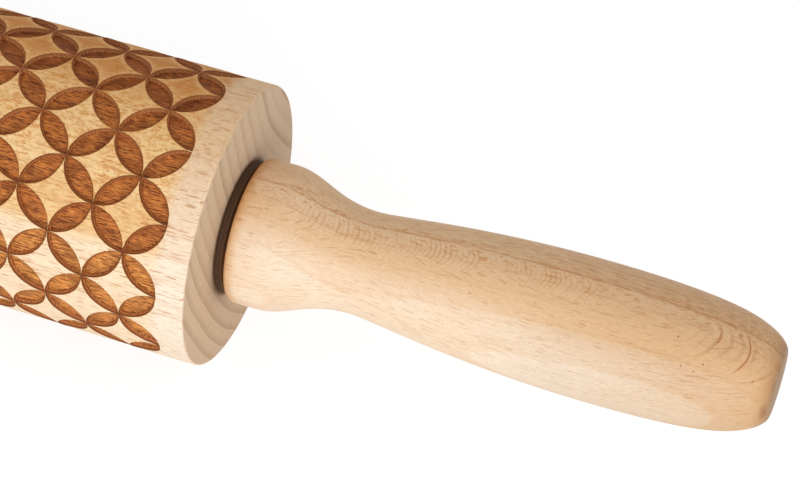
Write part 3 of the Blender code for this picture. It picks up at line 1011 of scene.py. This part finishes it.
def burnt_petal(made, place, outward, nibs, ragged, streaks):
    """Burnt wood: a streaked floor, a lighter wall with ticks, a dark foot and outline, with
    painted shade along the top and painted light at the front.
    """
    sparks = made.noise(place, SPARK_SIZES, detail=1.0)
    burnt = made.mix(made.step(streaks, *CHAR_ZONE), CHAR_DARK, CHAR_LIGHT)
    burnt = made.mix(made.step(sparks, *SPARK_GOLD_EASE), burnt, CHAR_GOLD)
    burnt = made.mix(made.step(sparks, *SPARK_DARK_EASE), burnt, CHAR_DARK)
    soot = made.noise(place, SOOT_SIZES)
    burnt = made.mix(made.step(soot, *SOOT_EASE), burnt, CHAR_DARK)
    # Painted shade along the top, painted light at the front.
    shade_and_light = made.mix(made.step(outward, *CHAR_MIDDLE_ZONE), CHAR_TOP_PAINTED_SHADE, CHAR_MIDDLE)
    shade_and_light = made.mix(made.step(outward, *CHAR_FRONT_LIGHT_ZONE), shade_and_light, CHAR_FRONT_PAINTED_LIGHT)
    burnt = made.tone(1.0, burnt, shade_and_light)
    wall = made.mix(made.step(nibs, *TICK_ZONE), CHAR_TICK, CHAR_WALL)
    # Painted light on the walls towards the front.
    wall = made.tone(made.step(outward, *WALL_PAINTED_LIGHT_ZONE), wall, WALL_PAINTED_LIGHT)
    burnt = made.mix(made.step(ragged, *WALL_ZONE), burnt, wall)
    foot = made.product(
        made.step(ragged, *FOOT_INNER_ZONE),
        made.step(ragged, *FOOT_OUTER_ZONE),
        made.step(made.noise(place, FOOT_SIZES, detail=1.0), *FOOT_EASE),
    )
    burnt = made.mix(foot, burnt, CHAR_EDGE)
    outline = made.product(
        made.step(ragged, *OUTLINE_ZONE),
        made.step(outward, *OUTLINE_OUTWARD_EASE),
    )
    return made.mix(outline, burnt, CHAR_EDGE)


def carved_beech():
    """Beech with petals burnt brown: floors streaked along the grain, dark outlines."""
    made = Shading("carved_beech")
    place = made.place()
    wood, pores, outward = beech(made, place, ROLLER_BLOCK)
    attribute = made.node("ShaderNodeAttribute", attribute_name="edge").outputs["Fac"]
    edge = made.math("MULTIPLY", attribute, MM_PER_METRE)
    drift = made.noise(place, DRIFT_SIZES, detail=1.0)
    lines = made.math("DIVIDE", made.parts(place)[0], LASER_LINE)
    lines = made.math("MULTIPLY_ADD", drift, LASER_DRIFT, lines)
    lines = made.math("SINE", made.math("MULTIPLY", lines, 2 * pi))
    nibs = made.noise(place, NIB_SIZES, detail=1.0)
    nibs = made.math("MULTIPLY_ADD", lines, LASER_SHARE, nibs)
    ragged = made.math("ADD", edge, made.step(nibs, *NIB_EDGE_EASE))
    streaks = made.noise(place, CHAR_SIZES, roughness=0.6)

    wood = smoked_and_shaded(made, place, wood, outward, edge, ragged)
    # Painted shade on the end face round the bush, under the collar.
    wood = made.tone(seat_painted_shade(made, place), wood, SEAT_SHADE_TONE)
    burnt = burnt_petal(made, place, outward, nibs, ragged, streaks)
    inside = made.step(ragged, *INSIDE_ZONE)
    made.feed(made.shader.inputs["Base Color"], made.mix(inside, wood, burnt))
    made.shader.inputs["Roughness"].default_value = ROLLER_ROUGHNESS
    made.shader.inputs["Specular IOR Level"].default_value = SHEEN
    height = made.node("ShaderNodeMix", data_type="FLOAT")
    made.feed(height.inputs[0], inside)
    made.feed(height.inputs[2], made.math("MULTIPLY", pores, LAND_RELIEF_SHARE))
    made.feed(height.inputs[3], streaks)
    made.bump(height.outputs[0], ROLLER_RELIEF, ROLLER_RELIEF_STRENGTH)
    return made.material


# Bushes, washers and axle
NYLON_DARK = color(62, 41, 24)
NYLON_LIGHT = color(80, 55, 34)
# Painted light for the flat faces, which lie in the shade of the gap
NYLON_FLAT_PAINTED_LIGHT = color(136, 102, 72)
NYLON_FLAT_ZONE = (0.8, 0.98)
NYLON_SIZES = (0.4, 0.4, 0.4)
NYLON_ROUGHNESS_EASE = (0.2, 0.8, 0.65, 0.8)
NYLON_RELIEF = 0.02 * MM
NYLON_RELIEF_STRENGTH = 0.4
STEEL_ROUGHNESS_EASE = (0.2, 0.8, 0.25, 0.42)
STEEL_RELIEF = 0.01 * MM
STEEL_RELIEF_STRENGTH = 0.3
WASHER_LIGHT = color(196, 196, 198)
WASHER_DARK = color(150, 150, 152)
WASHER_BRUSH_SIZES = (0.3, 3, 3)
ROD_LIGHT = color(205, 206, 208)
ROD_DARK = color(165, 166, 168)
ROD_BRUSH_SIZES = (8, 0.2, 0.2)


def black_nylon():
    """Matt moulded nylon with a faint mould grain, its flat faces lightened with painted light."""
    made = Shading("black_nylon")
    grain = made.noise(made.place(), NYLON_SIZES)
    nylon = made.mix(grain, NYLON_DARK, NYLON_LIGHT)
    flat = made.step(made.math("ABSOLUTE", made.normal()[0]), *NYLON_FLAT_ZONE)
    # Painted light on the flat faces, against the shade of the gap.
    made.feed(made.shader.inputs["Base Color"], made.mix(flat, nylon, NYLON_FLAT_PAINTED_LIGHT))
    made.feed(made.shader.inputs["Roughness"], made.step(grain, *NYLON_ROUGHNESS_EASE))
    made.shader.inputs["Specular IOR Level"].default_value = SHEEN
    made.bump(grain, NYLON_RELIEF, NYLON_RELIEF_STRENGTH)
    return made.material


def steel(name, light, dark, sizes):
    """Steel brushed along its noise's longest size."""
    made = Shading(name)
    brush = made.noise(made.place(), sizes, detail=3.0)
    made.feed(made.shader.inputs["Base Color"], made.mix(brush, dark, light))
    made.shader.inputs["Metallic"].default_value = 1.0
    made.feed(made.shader.inputs["Roughness"], made.step(brush, *STEEL_ROUGHNESS_EASE))
    made.bump(brush, STEEL_RELIEF, STEEL_RELIEF_STRENGTH)
    return made.material


# Pieces


def add_piece(name, mesh, finish, body, node):
    """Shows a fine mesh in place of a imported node, on that node's body."""
    mesh.materials.append(finish)
    piece = bpy.data.objects.new(name, mesh)
    bpy.context.scene.collection.objects.link(piece)
    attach(piece, body)
    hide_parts(node)


def mirrored(profile):
    """The outline of the same piece at the pin's other end."""
    return [(-along, radius) for along, radius in profile]


def dress_pin():
    """Every visible piece with its finish."""
    wood = turned_beech()
    nylon = black_nylon()
    washer = steel("washer_steel", WASHER_LIGHT, WASHER_DARK, WASHER_BRUSH_SIZES)
    carved = carved_beech()
    add_piece("carved_roller", roller_mesh(), carved, "roller_body", "roller")
    turned = (
        ("handle", handle_profile(), HANDLE_SIDES, wood, "handle_body", "turned_beech"),
        ("bush", bush_profile(), TURNED_SIDES, nylon, "roller_body", "black_nylon"),
        ("washer", washer_profile(), TURNED_SIDES, washer, "handle_body", "washer_steel"),
    )
    for kind, profile, sides, finish, body, slot in turned:
        for hand, outline in (("right", profile), ("left", mirrored(profile))):
            node = hand + "_" + kind
            mesh = finish_mesh("fine_" + node, *lathe(outline, sides))
            add_piece("fine_" + node, mesh, finish, body, node)
    rod = steel("axle_steel", ROD_LIGHT, ROD_DARK, ROD_BRUSH_SIZES)
    for material_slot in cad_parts["axle"].material_slots:
        material_slot.material = rod


# Stage

FLOOR_REACH = 6.0
FLOOR_COLOR = (0.9, 0.9, 0.9, 1.0)
FLOOR_GLOW = 0.82
FLOOR_SHADE_SHARE = 0.3
WORLD_STRENGTH = 0.62
LAMP_PLACE = Vector((0.45, -1.4, 0.5))
LAMP_SIZE = 1.2
LAMP_POWER = 13.5


def seen_directly(tree):
    """1 where the camera, a reflection or a refraction looks at this surface, else 0."""
    path = tree.nodes.new("ShaderNodeLightPath")
    total = path.outputs["Is Camera Ray"]
    for name in ("Is Glossy Ray", "Is Transmission Ray"):
        largest = tree.nodes.new("ShaderNodeMath")
        largest.operation = "MAXIMUM"
        tree.links.new(total, largest.inputs[0])
        tree.links.new(path.outputs[name], largest.inputs[1])
        total = largest.outputs[0]
    return total


def lay_floor():
    """A pale floor under the roller. Seen directly it is white apart from the shadow."""
    z = cad_low.z
    corners = [(-FLOOR_REACH, -FLOOR_REACH, z), (FLOOR_REACH, -FLOOR_REACH, z)]
    corners += [(FLOOR_REACH, FLOOR_REACH, z), (-FLOOR_REACH, FLOOR_REACH, z)]
    mesh = bpy.data.meshes.new("floor")
    mesh.from_pydata(corners, [], [(0, 1, 2, 3)])
    material = bpy.data.materials.new("floor")
    material.use_nodes = True
    tree = material.node_tree
    tree.nodes.clear()
    seen = seen_directly(tree)
    color_seen = tree.nodes.new("ShaderNodeMix")
    color_seen.data_type = "RGBA"
    color_seen.inputs[6].default_value = FLOOR_COLOR
    color_seen.inputs[7].default_value = (*[FLOOR_SHADE_SHARE] * 3, 1.0)
    tree.links.new(seen, color_seen.inputs[0])
    diffuse = tree.nodes.new("ShaderNodeBsdfDiffuse")
    tree.links.new(color_seen.outputs[2], diffuse.inputs["Color"])
    glow_seen = tree.nodes.new("ShaderNodeMath")
    glow_seen.operation = "MULTIPLY"
    glow_seen.inputs[1].default_value = FLOOR_GLOW
    tree.links.new(seen, glow_seen.inputs[0])
    glow = tree.nodes.new("ShaderNodeEmission")
    tree.links.new(glow_seen.outputs[0], glow.inputs["Strength"])
    both = tree.nodes.new("ShaderNodeAddShader")
    tree.links.new(diffuse.outputs[0], both.inputs[0])
    tree.links.new(glow.outputs[0], both.inputs[1])
    output = tree.nodes.new("ShaderNodeOutputMaterial")
    tree.links.new(both.outputs[0], output.inputs[0])
    mesh.materials.append(material)
    floor = bpy.data.objects.new("floor", mesh)
    bpy.context.scene.collection.objects.link(floor)


def light_stage():
    """A white world and one large soft lamp in front of the pin."""
    world = bpy.data.worlds.new("studio")
    world.use_nodes = True
    tree = world.node_tree
    background = tree.nodes["Background"]
    background.inputs["Color"].default_value = (1, 1, 1, 1)
    strength = tree.nodes.new("ShaderNodeMapRange")
    strength.inputs["To Min"].default_value = WORLD_STRENGTH
    strength.inputs["To Max"].default_value = 1.0
    tree.links.new(seen_directly(tree), strength.inputs[0])
    tree.links.new(strength.outputs[0], background.inputs["Strength"])
    bpy.context.scene.world = world
    data = bpy.data.lights.new("front_lamp", "AREA")
    data.energy = LAMP_POWER
    data.size = LAMP_SIZE
    lamp = bpy.data.objects.new("front_lamp", data)
    lamp.location = LAMP_PLACE
    way = Vector((ROLLER_END, 0, 0)) - LAMP_PLACE
    lamp.rotation_euler = way.to_track_quat("-Z", "Y").to_euler()
    bpy.context.scene.collection.objects.link(lamp)


def set_camera():
    """The photograph's view: the right handle and the roller's right end."""
    data = bpy.data.cameras.new("camera")
    data.sensor_width = SENSOR_WIDTH
    data.lens = CAMERA_LENS
    camera = bpy.data.objects.new("camera", data)
    camera.location = CAMERA_PLACE
    camera.rotation_euler = CAMERA_WAY.to_track_quat("-Z", "Y").to_euler()
    bpy.context.scene.collection.objects.link(camera)
    bpy.context.scene.camera = camera


set_camera()
dress_pin()
lay_floor()
light_stage()
bpy.context.scene.view_settings.view_transform = "Standard"
